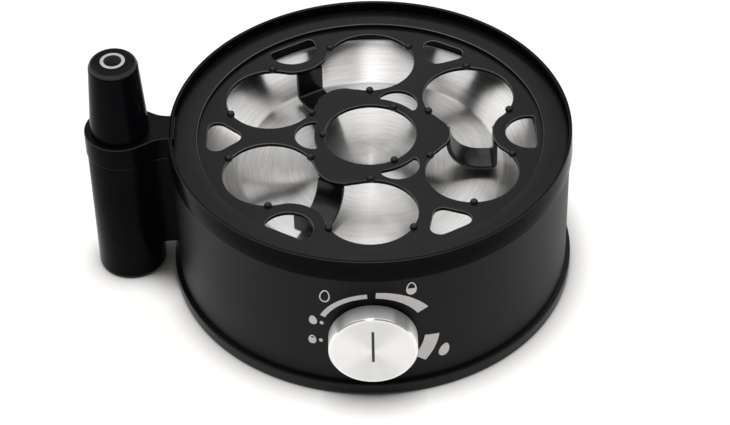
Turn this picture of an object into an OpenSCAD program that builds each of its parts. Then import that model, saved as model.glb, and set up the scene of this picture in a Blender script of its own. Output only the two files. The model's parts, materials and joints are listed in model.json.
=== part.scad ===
// Seven-egg cooker with its lid off. Origin on the floor under the middle of the drum,
// +Z up, the knob on the -Y side and the lid column on the -X side. Millimetres.

/* [Drum] */
// Outer radius of the drum wall
body_r = 89.7; // [88:0.1:93]
// Wall thickness of the drum and the column
wall = 2.4; // [2:0.1:2.8]
// Height of the seam between housing and collar
seam_z = 67; // [65:0.1:68]
// Height of the top of the lip
top_z = 78.7; // [77:0.1:80]
// How far the collar stands proud of the drum wall at the seam
collar_proud = 1; // [0.3:0.1:1.2]
// How far the lip leans in over the height of the collar
lip_lean = 0.5; // [0:0.1:0.8]
// Thickness of the lip
lip_t = 1.4; // [1.2:0.1:2]

/* [Base] */
// Height of the rubber feet below the base plate
foot_h = 1.2; // [1:0.1:2]
// Radius of a foot
foot_r = 7; // [5:0.5:8]
// Distance of the drum's feet from its wall
foot_inset = 23.7; // [20:0.1:30]
// How far the base ring stands proud of the drum wall
ring_proud = 2.2; // [0.8:0.1:2.6]
// Height of the base ring's face
ring_h = 4.8; // [4:0.1:6]
// Height of the groove above the base ring
groove_h = 0.6; // [0.4:0.1:1]
// Depth of the groove above the base ring
groove_d = 1; // [0.6:0.1:1.2]
// Thickness of the base plate's rim
plate_rim_t = 1.3; // [1:0.1:1.6]
// Thickness that the base plate has more inside its rim
plate_rise = 1.5; // [1:0.1:2]
// Number of cooling slots in the base plate
vents = 6; // [4:1:8]

/* [Column] */
// Radius of the lid column
column_r = 15.5; // [14.5:0.1:17]
// Gap between the drum and the lid column
column_gap = 6.8; // [5:0.1:9]
// Width of the bridge and the web between drum and column
bridge_w = 16; // [12:0.1:20]
// Radius where the bridge flows into the column
bridge_fillet = 6; // [2:0.1:8]
// Height of the web's lower edge
web_z = 16.5; // [12:0.5:30]
// Radius of the pivot post at its foot
post_r = 13.3; // [12:0.1:14]
// Height of the pivot post above the collar
post_h = 38; // [30:1:50]
// Lean of the pivot post's side, in degrees
post_lean = 3.7; // [1:0.1:5]
// Radius of the rounding at the top of the post
post_round = 3; // [1:0.1:4]
// Radius of the post's spindle
spindle_r = 5.95; // [5:0.05:6.5]
// Running clearance of the spindle in its bush, on the radius
spindle_fit = 0.05; // [0.02:0.01:0.1]
// Radius of the socket that takes the lid's arm
socket_r = 4; // [3:0.1:4.5]
// Depth of the socket
socket_h = 20; // [15:1:25]

/* [Egg tray] */
// Depth of the tray's flange below the top of the lip
flange_drop = 4.2; // [3:0.1:5]
// Thickness of the tray's flange
flange_t = 1.8; // [1.4:0.1:2.2]
// Step from the flange down to the plate
tray_step = 1.9; // [1.5:0.1:2.5]
// Thickness of the tray's plate
tray_t = 2.4; // [2:0.1:3]
// Radius of an egg hole, at the plate's drawn radius
egg_hole_r = 20.6; // [20:0.1:21]
// Radius of the ring of six egg holes, at the plate's drawn radius
egg_ring_r = 51.7; // [51:0.1:52.5]
// Radius of the ball nubs round the holes
nub_r = 1.8; // [1:0.1:2]
// Depth of the skirt under the tray's edge
skirt_h = 3; // [2:0.1:4]
// Thickness of the skirt
skirt_t = 1.7; // [1.2:0.1:2]
// Width of the saddles
saddle_w = 13; // [8:0.5:14]
// Depth of the saddles below the plate's top
saddle_drop = 16.8; // [12:0.1:17.5]
// Thickness of the saddles
saddle_t = 1.9; // [1.4:0.1:2.4]
// Reach of the hub's lobes from the axis, at the plate's drawn radius
hub_reach = 35.9; // [35:0.1:37]
// Radius of the lobes, at the plate's drawn radius
hub_lobe_r = 13.4; // [12:0.1:14]
// Width of the arm between a saddle and its rim opening, at the plate's drawn radius
arm_w = 5.9; // [5:0.1:6.5]
// Radius of the rim openings, at the plate's drawn radius
rim_cut_r = 11.1; // [10:0.1:11.5]
// Distance of a rim opening's centre from the axis, at the plate's drawn radius
rim_cut_place = 71.8; // [71:0.1:72.5]
// Distance of a rim opening's flat side from the axis, at the plate's drawn radius
rim_cut_flat = 74.4; // [73.5:0.1:74.8]
// Play between the tray and the collar round it
tray_play = 0.5; // [0.3:0.05:0.8]

/* [Dish] */
// Depth of the dish's floor below the tray's plate
dish_depth = 19; // [18.5:0.1:20]
// Thickness of the dish's steel
dish_t = 0.8; // [0.6:0.1:1.2]
// How far the dish's slope reaches in from its wall
dish_slope_w = 17.4; // [14:0.1:20]
// How far the dish's slope rises
dish_slope_h = 11.9; // [10:0.1:13.4]
// Thickness of the seal on the dish's flange
seal_t = 1.1; // [0.8:0.1:1.5]
// Width of the seal on the dish's flange
seal_w = 2.1; // [1.5:0.1:2.5]

/* [Knob] */
// Height of the knob's axis
knob_z = 34.5; // [33:0.1:37]
// Radius of the knob
knob_r = 19.3; // [18:0.1:21]
// Distance of the knob's face from the drum wall
knob_reach = 9.9; // [9:0.1:12]
// Gap between the knob and the drum wall
knob_gap = 0.7; // [0.5:0.1:1]
// Bevel round the knob's face
knob_bevel = 1.2; // [0.8:0.1:1.6]
// Height of the crown of the knob's face
knob_crown = 0.5; // [0.2:0.1:0.8]
// Thickness of the knob's metal cap
cap_t = 1; // [0.8:0.1:1.4]
// Width of the pointer line
pointer_w = 1.2; // [0.8:0.1:1.6]
// Top end of the pointer line above the knob's axis
pointer_top = 12; // [10:0.5:15]
// Bottom end of the pointer line below the knob's axis
pointer_bottom = 6; // [2:0.5:8]
// Radius of the control shaft
shaft_r = 3; // [2.5:0.1:3.5]
// Running clearance of the control shaft, on the radius
shaft_fit = 0.05; // [0.02:0.01:0.1]

/* [Dial] */
// Thickness of the print on the wall
print_t = 0.15; // [0.1:0.01:0.3]
// Gap between the knob's outline and the dial's arcs
dial_gap = 3.3; // [2:0.1:4]
// Width of the left arc
soft_w = 2.3; // [1.5:0.1:3]
// Width of the middle arc at its thin end and at its thick end
medium_w = [3.1, 5.2]; // [2:0.1:6]
// Width of the right arc
hard_w = 6.4; // [4:0.1:7.5]

/* [Hidden] */
$fn = 96;

eps = 0.01;
seat = 0.1;
part_gap = 0.2;
press = 0.03;
root = 0.6;
thirds = [0, 120, 240];
quarters = [45, 135, 225, 315];

// Heights, from the floor up
plate_z = foot_h;
plate_rim_top = plate_z + plate_rim_t;
plate_top = plate_rim_top + plate_rise;
ring_top = plate_z + ring_h;
wall_z = ring_top + groove_h;
flange_z = top_z - flange_drop;
ledge_z = flange_z - flange_t - seat;
tray_z = flange_z - tray_step;
ledge_t = 2.2;
ledge_under = ledge_z - ledge_t;
dish_flange_z = ledge_under - seal_t;
dish_z = tray_z - dish_depth;
dish_under = dish_z - dish_t;

// Radii
inner_r = body_r - wall;
collar_r = body_r + collar_proud;
lip_r = collar_r - lip_lean;
lip_in_r = lip_r - lip_t;
tray_r = lip_in_r - tray_play;
ring_r = body_r + ring_proud;
ring_in_r = inner_r - seat;
column_x = body_r + column_gap + column_r;
foot_place = body_r - foot_inset;

// Screws and bosses
boss_r = 3.6;
base_boss_place = ring_in_r - boss_r - part_gap;
boss_rib_w = 3;
base_boss_top = 24;
small_boss_r = 2.2;
small_boss_place = inner_r - small_boss_r - seat;
screw_r = 1.3;
small_screw_r = 1;
lug_t = 3;
lug_z = seam_z - 6.3;
clamp_angles = [20, 110, 200, 290];
clamp_t = 1;

// Dish, seal, ledge and tray step inwards from the screw bosses by what each of them needs
dish_flange_r = small_boss_place - small_boss_r - part_gap;
ledge_in_r = dish_flange_r - seat - seal_w - part_gap;
step_t = 1.8;
step_play = 0.8;
flange_in_r = ledge_in_r - step_play - step_t;
dish_wall_r = flange_in_r - part_gap;
dish_floor_r = dish_wall_r - dish_slope_w;

// The plate's openings grow and shrink with the plate, from the radius that they are drawn for
plate_drawn_r = 77.6;
plan = flange_in_r / plate_drawn_r;
hole_r = egg_hole_r * plan;
hole_ring_r = egg_ring_r * plan;
lobe_reach = hub_reach * plan;
lobe_r = hub_lobe_r * plan;
arm_t = arm_w * plan;
rim_open_r = rim_cut_r * plan;
rim_open_place = rim_cut_place * plan;
rim_open_flat = rim_cut_flat * plan;

module tube(outer, inner, low, high) {
    translate([0, 0, low])
        difference() {
            cylinder(r = outer, h = high - low);
            translate([0, 0, -1])
                cylinder(r = inner, h = high - low + 2);
        }
}

module disc(radius, low, high) {
    translate([0, 0, low])
        cylinder(r = radius, h = high - low);
}

module ring_of(angles, place) {
    for (a = angles)
        rotate([0, 0, a])
            translate([place, 0, 0])
                children();
}

// Turns a shape on the Z axis so that it lies along the knob's axis, with Z pointing out of the drum
module on_knob_axis() {
    translate([0, 0, knob_z])
        rotate([90, 0, 0])
            children();
}

big_head_r = 2.8;
small_head_r = 1.9;
small_head_h = 1;
base_screw_l = 12;
collar_screw_l = 5;
short_screw_l = 1.6;

// A pan-head screw standing up from its head's top face
module screw(radius, length, head_r, head_h) {
    cylinder(r = head_r, h = head_h);
    translate([0, 0, head_h - eps])
        cylinder(r = radius, h = length + eps);
}

// Solid outline of the bridge from the drum's axis side to the column, which it meets in a round flow
module bridge_outline(drum_r, post_column_r) {
    half = bridge_w / 2;
    f = bridge_fillet;
    column_f = -column_x + sqrt(pow(post_column_r + f, 2) - pow(half + f, 2));
    touch_y = (half + f) * post_column_r / (post_column_r + f);
    reach = column_x - drum_r + wall;
    translate([-column_x, -half])
        square([reach, bridge_w]);
    for (side = [-1, 1])
        difference() {
            translate([-column_x, side > 0 ? 0 : -touch_y])
                square([column_f + column_x, touch_y]);
            translate([column_f, side * (half + f)])
                circle(r = f);
        }
}

// Length of a cut that goes right through the drum wall, from inside its curve
wall_cut = 4 * wall;

module knob_hole() {
    on_knob_axis()
        disc(hub_r + 1, inner_r - wall_cut, inner_r + wall_cut);
}

gland_z = 16.5;
gland_r = 6.4;
gland_flange_r = 8.5;
gland_bore_r = 3.5;
gland_flange_t = 2.2;

// Turns a shape on the Z axis so that it points out through the back of the drum
module on_gland_axis() {
    translate([0, 0, gland_z])
        rotate([-90, 0, 0])
            children();
}

// Half the width and the top of the panel that carries the cord's inlet
panel_w = 13;
panel_top = gland_z + gland_flange_r + 2;
panel_lap = 3;
panel_lap_t = 1.2;

module panel_block(half, top, outer) {
    translate([-half, 0, 0])
        cube([2 * half, outer, top]);
}

module housing() {
    color([0.05, 0.05, 0.055]) {
        difference() {
            disc(body_r, wall_z, seam_z);
            disc(inner_r, wall_z - 1, seam_z + 1);
            knob_hole();
            panel_block(panel_w, panel_top, body_r + 1);
        }
        ring_of(quarters, base_boss_place) {
            tube(boss_r, screw_r - 0.2, plate_top + seat, base_boss_top);
            translate([boss_r - 1, -boss_rib_w / 2, wall_z])
                cube([inner_r + root - base_boss_place - boss_r + 1, boss_rib_w, base_boss_top - wall_z]);
        }
        ring_of(quarters, small_boss_place)
            lug();
    }
}

// Panel in a notch of the drum wall, lapped over the wall's inside
module inlet_panel() {
    pocket = gland_flange_r + 1;
    color([0.05, 0.05, 0.055])
        difference() {
            union() {
                intersection() {
                    tube(body_r, inner_r - panel_lap_t, wall_z, seam_z);
                    panel_block(panel_w - seat, panel_top - seat, body_r + 1);
                }
                intersection() {
                    tube(inner_r - seat, inner_r - panel_lap_t, wall_z, seam_z);
                    panel_block(panel_w + panel_lap, panel_top + panel_lap, body_r + 1);
                }
            }
            intersection() {
                disc(inner_r - seat, wall_z - 1, seam_z);
                panel_block(pocket, gland_z + pocket, body_r + 1);
            }
            on_gland_axis()
                disc(gland_r + seat, inner_r - wall_cut, inner_r + wall_cut);
        }
}

// Lower part of the lid column, with the web that joins it to the drum
module column() {
    color([0.05, 0.05, 0.055])
        difference() {
            union() {
                translate([0, 0, web_z])
                    linear_extrude(seam_z - web_z)
                        bridge_outline(body_r, column_r);
                translate([-column_x, 0, 0])
                    disc(column_r, plate_z, seam_z);
            }
            disc(body_r, 0, seam_z + 1);
            translate([-column_x, 0, 0])
                disc(column_r - wall, 0, seam_z + 1);
        }
}

// Lug on the drum wall that a collar screw goes through
module lug() {
    reach = inner_r - small_boss_place + root;
    difference() {
        union() {
            disc(small_boss_r, lug_z - lug_t, lug_z);
            translate([0, -small_boss_r, lug_z - lug_t])
                cube([reach, 2 * small_boss_r, lug_t]);
        }
        disc(small_screw_r + 0.2, lug_z - lug_t - 1, lug_z + 1);
    }
}

cap_r = column_r + 0.5;
bush_r = spindle_r + 2.05;
bush_flange_r = bush_r + 2;
bush_flange_t = 0.9;
bush_low = seam_z - 8;
bush_wall = 3;

// Leaning outside of the collar, as a solid that reaches further up and down if asked to
module collar_cone(beyond) {
    lean = lip_lean / (top_z - seam_z) * beyond;
    translate([0, 0, seam_z - beyond])
        cylinder(r1 = collar_r + lean, r2 = lip_r - lean, h = top_z - seam_z + 2 * beyond);
}

module collar() {
    color([0.05, 0.05, 0.055]) {
        difference() {
            collar_cone(0);
            disc(lip_in_r, ledge_z, top_z + 1);
            disc(ledge_in_r, seam_z - 1, top_z);
            disc(inner_r, seam_z - 1, ledge_under);
        }
        ring_of(quarters, small_boss_place)
            tube(small_boss_r, small_screw_r, lug_z + seat, ledge_under + root);
        ring_of(clamp_angles, small_boss_place)
            tube(small_boss_r, small_screw_r, dish_flange_z - dish_t + seat, ledge_under + root);
    }
}

// Top of the lid column and the bridge to the collar, with the seat of the post's bush
module column_cap() {
    color([0.05, 0.05, 0.055])
        difference() {
            union() {
                translate([0, 0, seam_z])
                    linear_extrude(top_z - seam_z)
                        bridge_outline(collar_r, cap_r);
                translate([-column_x, 0, 0]) {
                    disc(cap_r, seam_z, top_z);
                    disc(bush_r + bush_wall, bush_low, seam_z + 1);
                }
            }
            collar_cone(1);
            translate([-column_x, 0, 0]) {
                disc(bush_r, bush_low - 1, top_z + 1);
                disc(bush_flange_r + seat, top_z - bush_flange_t + seat, top_z + 1);
            }
        }
}

module base_ring() {
    color([0.04, 0.04, 0.045]) {
        tube(ring_r, body_r + seat, plate_z, ring_top);
        tube(ring_r - 0.5, ring_in_r, plate_rim_top + seat, ring_top);
        tube(body_r - groove_d, ring_in_r, ring_top - eps, wall_z);
    }
}

board_size = [54, 36, 1.6];
board_place = [24, 26];
board_gap = 6;
board_z = plate_top + board_gap;
standoff_r = 3;

module at_board_corners() {
    inset = 4;
    for (x = [inset, board_size[0] - inset], y = [inset, board_size[1] - inset])
        translate([board_place[0] - board_size[0] / 2 + x, board_place[1] - board_size[1] / 2 + y, 0])
            children();
}

foot_angles = [30, 150, 210, 330];
foot_plug_r = 2.5;
foot_plug_h = 2;
vent_size = [26, 4];
vent_place = 36;

module base_plate() {
    color([0.06, 0.06, 0.065])
        difference() {
            union() {
                disc(body_r - seat, plate_z, plate_rim_top);
                disc(ring_in_r - seat, plate_z, plate_top);
                at_board_corners()
                    disc(standoff_r, plate_top - eps, board_z - seat);
            }
            ring_of(quarters, base_boss_place) {
                disc(screw_r + 0.3, 0, plate_top + 1);
                disc(big_head_r + 0.4, 0, plate_z + screw_head_h);
            }
            disc(foot_plug_r + 0.1, 0, plate_z + foot_plug_h + 0.1);
            ring_of(foot_angles, foot_place)
                disc(foot_plug_r + 0.1, 0, plate_z + foot_plug_h + 0.1);
            for (i = [0 : vents - 1])
                rotate([0, 0, (i + 0.5) * 360 / vents])
                    translate([vent_place - vent_size[0] / 2, -vent_size[1] / 2, 0])
                        cube([vent_size[0], vent_size[1], 10]);
            at_board_corners()
                disc(small_screw_r, plate_top + 1, board_z + 1);
            at_bracket_screws()
                disc(small_screw_r, plate_z + 1, plate_top + 1);
            at_terminal_screws()
                disc(small_screw_r, plate_z + 1, plate_top + 1);
        }
}

screw_head_h = 1.4;

column_cover_r = column_r - wall - seat;
column_cover_t = 2;
cover_rim_t = 1.5;
cover_rim_h = 4;

foot_play = 0.02;

module foot() {
    disc(foot_r, 0, foot_h - foot_play);
    disc(foot_plug_r, foot_h - foot_play - eps, foot_h + foot_plug_h);
}

module feet() {
    color([0.09, 0.09, 0.09]) {
        foot();
        ring_of(foot_angles, foot_place)
            foot();
        translate([-column_x, 0, 0])
            disc(foot_r, 0, foot_h - foot_play);
    }
}

module base_screws() {
    color([0.7, 0.7, 0.72])
        ring_of(quarters, base_boss_place)
            translate([0, 0, plate_z + seat])
                screw(screw_r - 0.25, base_screw_l, big_head_r, screw_head_h - seat);
}

module collar_screws() {
    color([0.7, 0.7, 0.72])
        ring_of(quarters, small_boss_place)
            translate([0, 0, lug_z - lug_t - small_head_h])
                screw(small_screw_r - 0.1, lug_t + collar_screw_l, small_head_r, small_head_h);
}

module column_cover() {
    color([0.06, 0.06, 0.065])
        translate([-column_x, 0, 0]) {
            disc(column_cover_r, plate_z, plate_z + column_cover_t);
            tube(column_cover_r, column_cover_r - cover_rim_t, plate_z + column_cover_t - eps,
                plate_z + column_cover_t + cover_rim_h);
        }
}

post_z = top_z + 0.3;
post_top = post_z + post_h;
spindle_low = bush_low - 5;
clip_t = 1;
clip_z = bush_low - 1.5;
clip_groove = 0.8;
post_top_r = post_r - post_h * tan(post_lean);
sleeve_r = socket_r + 1.5;

module pivot_post() {
    color([0.05, 0.05, 0.055])
        translate([-column_x, 0, 0])
            difference() {
                rotate_extrude() {
                    difference() {
                        polygon([[0, post_z], [post_r, post_z], [post_top_r, post_top], [0, post_top]]);
                        translate([post_top_r - post_round, post_top - post_round])
                            square(post_round * 2);
                    }
                    translate([post_top_r - post_round, post_top - post_round])
                        circle(r = post_round);
                    translate([0, post_top - post_round - 1])
                        square([post_top_r - post_round, post_round + 1]);
                    difference() {
                        translate([0, spindle_low])
                            square([spindle_r, post_z - spindle_low + 1]);
                        translate([spindle_r - clip_groove, clip_z - 0.1])
                            square([2, clip_t + 0.2]);
                    }
                }
                disc(sleeve_r + press, post_top - socket_h, post_top + 1);
            }
}

module socket_sleeve() {
    color([0.75, 0.75, 0.76])
        translate([-column_x, 0, 0])
            tube(sleeve_r, socket_r, post_top - socket_h, post_top);
}

module post_bush() {
    color([0.85, 0.85, 0.82])
        translate([-column_x, 0, 0]) {
            tube(bush_r - press, spindle_r + spindle_fit, bush_low, top_z + 0.1);
            tube(bush_flange_r, bush_r - press - 0.5, top_z - bush_flange_t + seat, top_z + 0.1);
        }
}

module post_clip() {
    color([0.6, 0.6, 0.62])
        translate([-column_x, 0, clip_z])
            rotate_extrude(angle = 300)
                translate([spindle_r - clip_groove + press, 0])
                    square([3.2, clip_t]);
}

// Outline with equal round corners on straight-sided points given anticlockwise
module rounded_outline(points, radius) {
    count = len(points);
    polygon(points);
    for (i = [0 : count - 1]) {
        a = points[i];
        b = points[(i + 1) % count];
        away = [b[1] - a[1], a[0] - b[0]] / norm(b - a) * radius;
        translate(a)
            circle(r = radius);
        polygon([a, b, b + away, a + away]);
    }
}

triangle_r = 4.4 * plan;
triangle_tip = 62.4 * plan;
triangle_base = 68.8 * plan;
triangle_half = 5.4 * plan;
crescent_place = 24.4 * plan;
crescent_r = 9.4 * plan;
crescent_inner_r = hole_r + 4.6 * plan;
neck_w = 18 * plan;

module neck_outline() {
    arm_edge = rim_open_place - rim_open_r - arm_t;
    difference() {
        translate([lobe_reach - lobe_r / 2, -neck_w / 2])
            square([arm_edge - lobe_reach + lobe_r / 2 + 2.2 * plan, neck_w]);
        translate([lobe_reach - lobe_r, 0])
            circle(r = lobe_r);
        translate([rim_open_place, 0])
            circle(r = rim_open_r + arm_t);
    }
}

module rim_opening_outline() {
    intersection() {
        translate([rim_open_place, 0])
            circle(r = rim_open_r);
        translate([0, -rim_open_r])
            square([rim_open_flat, 2 * rim_open_r]);
    }
}

module triangle_outline() {
    rounded_outline([[triangle_tip, 0], [triangle_base, -triangle_half], [triangle_base, triangle_half]],
        triangle_r);
}

module crescent_outline() {
    difference() {
        translate([crescent_place, 0])
            circle(r = crescent_r);
        circle(r = crescent_inner_r);
    }
}

module hole_centres() {
    children();
    ring_of([30, 90, 150, 210, 270, 330], hole_ring_r)
        children();
}

module tray_openings() {
    hole_centres()
        circle(r = hole_r);
    for (a = thirds)
        rotate(a) {
            neck_outline();
            rim_opening_outline();
            rotate(60) {
                triangle_outline();
                crescent_outline();
            }
        }
}

// Ball nubs on the edge of one hole
module nubs() {
    for (a = thirds)
        rotate([0, 0, 60 + a])
            translate([hole_r + nub_set, 0, tray_z - nub_sink])
                sphere(r = nub_r);
}

nub_set = 0.5;
nub_sink = 0.1;
saddle_curve = 15.2 * plan;
saddle_in = lobe_reach - saddle_t;
saddle_mid = saddle_in + saddle_curve;
saddle_low = tray_z - saddle_drop;
saddle_out = rim_open_place - rim_open_r - arm_t + part_gap + saddle_t;
saddle_root = 2;

// Strap that drops from the hub, runs level and climbs straight to the arm; drawn in distance and height
module saddle_outline() {
    intersection() {
        difference() {
            union() {
                translate([saddle_mid, saddle_low + saddle_curve])
                    circle(r = saddle_curve);
                translate([saddle_mid, saddle_low])
                    square([saddle_out - saddle_mid, saddle_drop]);
            }
            translate([saddle_mid, saddle_low + saddle_curve])
                circle(r = saddle_curve - saddle_t);
            translate([saddle_mid - 1, saddle_low + saddle_t])
                square([saddle_out - saddle_mid - saddle_t + 1, saddle_drop]);
        }
        translate([saddle_in - 1, saddle_low - 1])
            square([saddle_out - saddle_in + 1, saddle_drop - tray_t + 1]);
    }
}

// The strap, with a thicker root where it hangs from the hub
module saddle() {
    root_w = saddle_w - 4;
    translate([0, saddle_w / 2, 0])
        rotate([90, 0, 0])
            linear_extrude(saddle_w)
                saddle_outline();
    translate([saddle_in - saddle_root, -root_w / 2, tray_z - tray_t - saddle_root])
        cube([saddle_root + saddle_t / 2, root_w, saddle_root]);
}

module egg_tray() {
    color([0.04, 0.04, 0.045]) {
        translate([0, 0, tray_z - tray_t])
            linear_extrude(tray_t)
                difference() {
                    circle(r = flange_in_r);
                    tray_openings();
                }
        hole_centres()
            nubs();
    }
}

// Flange and step round the tray's plate
module tray_rim() {
    color([0.04, 0.04, 0.045]) {
        tube(tray_r, flange_in_r, flange_z - flange_t, flange_z);
        tube(flange_in_r + step_t, flange_in_r, tray_z - tray_t, flange_z - eps);
    }
}

module tray_skirt() {
    skirt_in_r = rim_open_flat + part_gap;
    color([0.04, 0.04, 0.045])
        tube(skirt_in_r + skirt_t, skirt_in_r, tray_z - tray_t - skirt_h, tray_z - tray_t);
}

module tray_saddles() {
    color([0.04, 0.04, 0.045])
        ring_of(thirds, 0)
            saddle();
}

module heating_dish() {
    slope = atan(dish_slope_h / dish_slope_w);
    slope_z = dish_z + dish_slope_h;
    color([0.78, 0.78, 0.77])
        rotate_extrude()
            polygon([
                [0, dish_z], [dish_floor_r, dish_z], [dish_wall_r, slope_z], [dish_wall_r, dish_flange_z],
                [dish_flange_r, dish_flange_z], [dish_flange_r, dish_flange_z - dish_t],
                [dish_wall_r + dish_t, dish_flange_z - dish_t],
                [dish_wall_r + dish_t, slope_z - dish_t * tan(45 - slope / 2)],
                [dish_floor_r + dish_t * tan(slope / 2), dish_under], [0, dish_under]]);
}

module dish_seal() {
    color([0.55, 0.2, 0.12])
        tube(dish_flange_r - seat, ledge_in_r + part_gap, dish_flange_z, ledge_under);
}

module dish_clamps() {
    low = dish_flange_z - dish_t - clamp_t;
    reach = small_boss_place - dish_wall_r - dish_t - 0.6;
    color([0.72, 0.72, 0.74])
        ring_of(clamp_angles, small_boss_place)
            difference() {
                union() {
                    disc(small_boss_r, low, low + clamp_t);
                    translate([-reach, -3.5, low])
                        cube([reach, 7, clamp_t]);
                }
                disc(small_screw_r + 0.2, low - 1, low + 3);
            }
}

module clamp_screws() {
    color([0.7, 0.7, 0.72])
        ring_of(clamp_angles, small_boss_place)
            translate([0, 0, dish_flange_z - dish_t - clamp_t - small_head_h])
                screw(small_screw_r - 0.1, clamp_t + dish_t + seal_t - part_gap,
                      small_head_r, small_head_h);
}

stud_place = 24;
stud_r = 2;
stud_angles = [90, 210, 330];
element_place = 38;
element_r = 3.2;
element_plate_r = 45;
element_plate_t = 1.2;
element_plate_z = dish_under - 2 * element_r - seat - element_plate_t;
spacer_h = 6;
shield_r = 58;
shield_t = 0.8;
shield_z = element_plate_z - spacer_h - shield_t;
nut_h = 3.2;
nut_r = 4;
thermostat_r = 8.5;

module at_studs() {
    ring_of(stud_angles, stud_place)
        children();
}

module dish_studs() {
    color([0.7, 0.7, 0.72])
        at_studs() {
            disc(stud_r, shield_z - nut_h - 2, dish_under);
            disc(stud_r + 1.5, dish_under - 0.8, dish_under);
        }
}

module heating_element() {
    tail_h = 14;
    color([0.5, 0.5, 0.5])
        translate([0, 0, dish_under - element_r - seat / 2]) {
            rotate([0, 0, 15])
                rotate_extrude(angle = 330)
                    translate([element_place, 0])
                        circle(r = element_r);
            for (side = [-15, 15])
                rotate([0, 0, side])
                    translate([element_place, 0, -element_r - tail_h])
                        cylinder(r = 1.5, h = tail_h + element_r);
        }
}

module element_plate() {
    color([0.72, 0.72, 0.73])
        difference() {
            disc(element_plate_r, element_plate_z, element_plate_z + element_plate_t);
            disc(thermostat_r + 2.5, element_plate_z - 1, element_plate_z + 3);
            at_studs()
                disc(stud_r + 0.2, element_plate_z - 1, element_plate_z + 3);
            for (side = [-15, 15])
                rotate([0, 0, side])
                    translate([element_place, 0, 0])
                        disc(2.5, element_plate_z - 1, element_plate_z + 3);
        }
}

module shield_spacers() {
    color([0.8, 0.8, 0.78])
        at_studs()
            tube(stud_r + 1.6, stud_r + 0.1, shield_z + shield_t, element_plate_z);
}

module heat_shield() {
    color([0.75, 0.75, 0.76])
        difference() {
            disc(shield_r, shield_z, shield_z + shield_t);
            disc(thermostat_r + 6, shield_z - 1, shield_z + 2);
            at_studs()
                disc(stud_r + 0.2, shield_z - 1, shield_z + 2);
            for (side = [-15, 15])
                rotate([0, 0, side])
                    translate([element_place, 0, 0])
                        disc(3, shield_z - 1, shield_z + 2);
            translate([46, 12, shield_z - 1])
                cube([30, 20, 3]);
        }
}

module stud_nuts() {
    color([0.7, 0.7, 0.72])
        at_studs()
            difference() {
                translate([0, 0, shield_z - nut_h])
                    cylinder(r = nut_r, h = nut_h, $fn = 6);
                disc(stud_r + 0.02, shield_z - nut_h - 1, shield_z + 1);
            }
}

thermostat_h = 9;
thermostat_low = dish_under - thermostat_h;
thermostat_nose_h = 1.5;
thermostat_nose_step = 2;
thermostat_blade = [3, 0.8, 7.5];
thermostat_blade_place = 6;
thermostat_blade_root = 0.5;
strap_w = 8;
strap_t = 0.6;
strap_leg_t = 0.8;
strap_reach = thermostat_r + 5;

module thermostat() {
    color([0.16, 0.14, 0.13])
        union() {
            disc(thermostat_r, thermostat_low, dish_under - thermostat_nose_h);
            disc(thermostat_r - thermostat_nose_step, dish_under - thermostat_nose_h - 0.1,
                 dish_under - 0.02);
            for (side = [-1, 1])
                translate([side * thermostat_blade_place - thermostat_blade[0] / 2, -thermostat_blade[1] / 2,
                           thermostat_low + thermostat_blade_root - thermostat_blade[2]])
                    cube(thermostat_blade);
        }
}

module thermostat_clip() {
    clip_low = thermostat_low - strap_t;
    color([0.7, 0.7, 0.72]) {
        translate([-strap_w / 2, -strap_reach, clip_low])
            cube([strap_w, 2 * strap_reach, strap_t]);
        for (side = [-1, 1])
            translate([-strap_w / 2, side > 0 ? strap_reach - strap_leg_t : -strap_reach, clip_low])
                cube([strap_w, strap_leg_t, element_plate_z - clip_low]);
    }
}

fuse_r = 2;
fuse_l = 12;
fuse_lead_r = 0.5;
fuse_lead_l = 26;
fuse_clip_w = 6;
fuse_clip_t = 0.8;
fuse_place = [-24, 14];
fuse_z = element_plate_z - fuse_r - 0.4;

module thermal_fuse() {
    color([0.8, 0.78, 0.7])
        translate([fuse_place[0], fuse_place[1], fuse_z])
            rotate([0, 90, 0]) {
                cylinder(r = fuse_r, h = fuse_l, center = true);
                cylinder(r = fuse_lead_r, h = fuse_lead_l, center = true);
            }
}

module fuse_clip() {
    color([0.7, 0.7, 0.72])
        translate([fuse_place[0], fuse_place[1], 0])
            difference() {
                translate([-fuse_clip_w / 2, -fuse_r - fuse_clip_t, fuse_z - fuse_r - fuse_clip_t])
                    cube([fuse_clip_w, 2 * (fuse_r + fuse_clip_t),
                          element_plate_z - fuse_z + fuse_r + fuse_clip_t]);
                translate([0, 0, fuse_z])
                    rotate([0, 90, 0])
                        cylinder(r = fuse_r + press, h = 2 * fuse_l, center = true);
                translate([-fuse_clip_w, -fuse_r - press, fuse_z])
                    cube([2 * fuse_clip_w, 2 * (fuse_r + press), element_plate_z]);
            }
}

// The knob is drawn on its own axis: distances are measured from the drum's axis outwards
knob_back = body_r + knob_gap;
knob_face = body_r + knob_reach;
knob_edge = knob_face - knob_crown;
hub_r = 6.5;
hub_low = inner_r + 0.1;

// Half outline of the knob's outside, with the crown as a shallow arc
function crown_points(radius, rise, base, steps) =
    [for (i = [0 : steps]) let (x = radius * (1 - i / steps)) [x, base + rise * (1 - pow(x / radius, 2))]];

module knob_outline(inset) {
    polygon(concat([[0, knob_back], [knob_r - inset, knob_back], [knob_r - inset, knob_edge - knob_bevel]],
        crown_points(knob_r - inset - knob_bevel, knob_crown, knob_edge - inset, 8)));
}

module pointer_bar(low, high) {
    translate([-pointer_w / 2, -pointer_bottom, low])
        cube([pointer_w, pointer_top + pointer_bottom, high - low]);
}

module knob_cap() {
    color([0.86, 0.86, 0.87])
        on_knob_axis()
            difference() {
                rotate_extrude()
                    difference() {
                        knob_outline(0);
                        translate([0, -eps])
                            knob_outline(cap_t);
                        translate([0, knob_back - 1])
                            square([knob_r - cap_t, 2]);
                    }
                pointer_bar(knob_back, knob_face + 1);
            }
}

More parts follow.
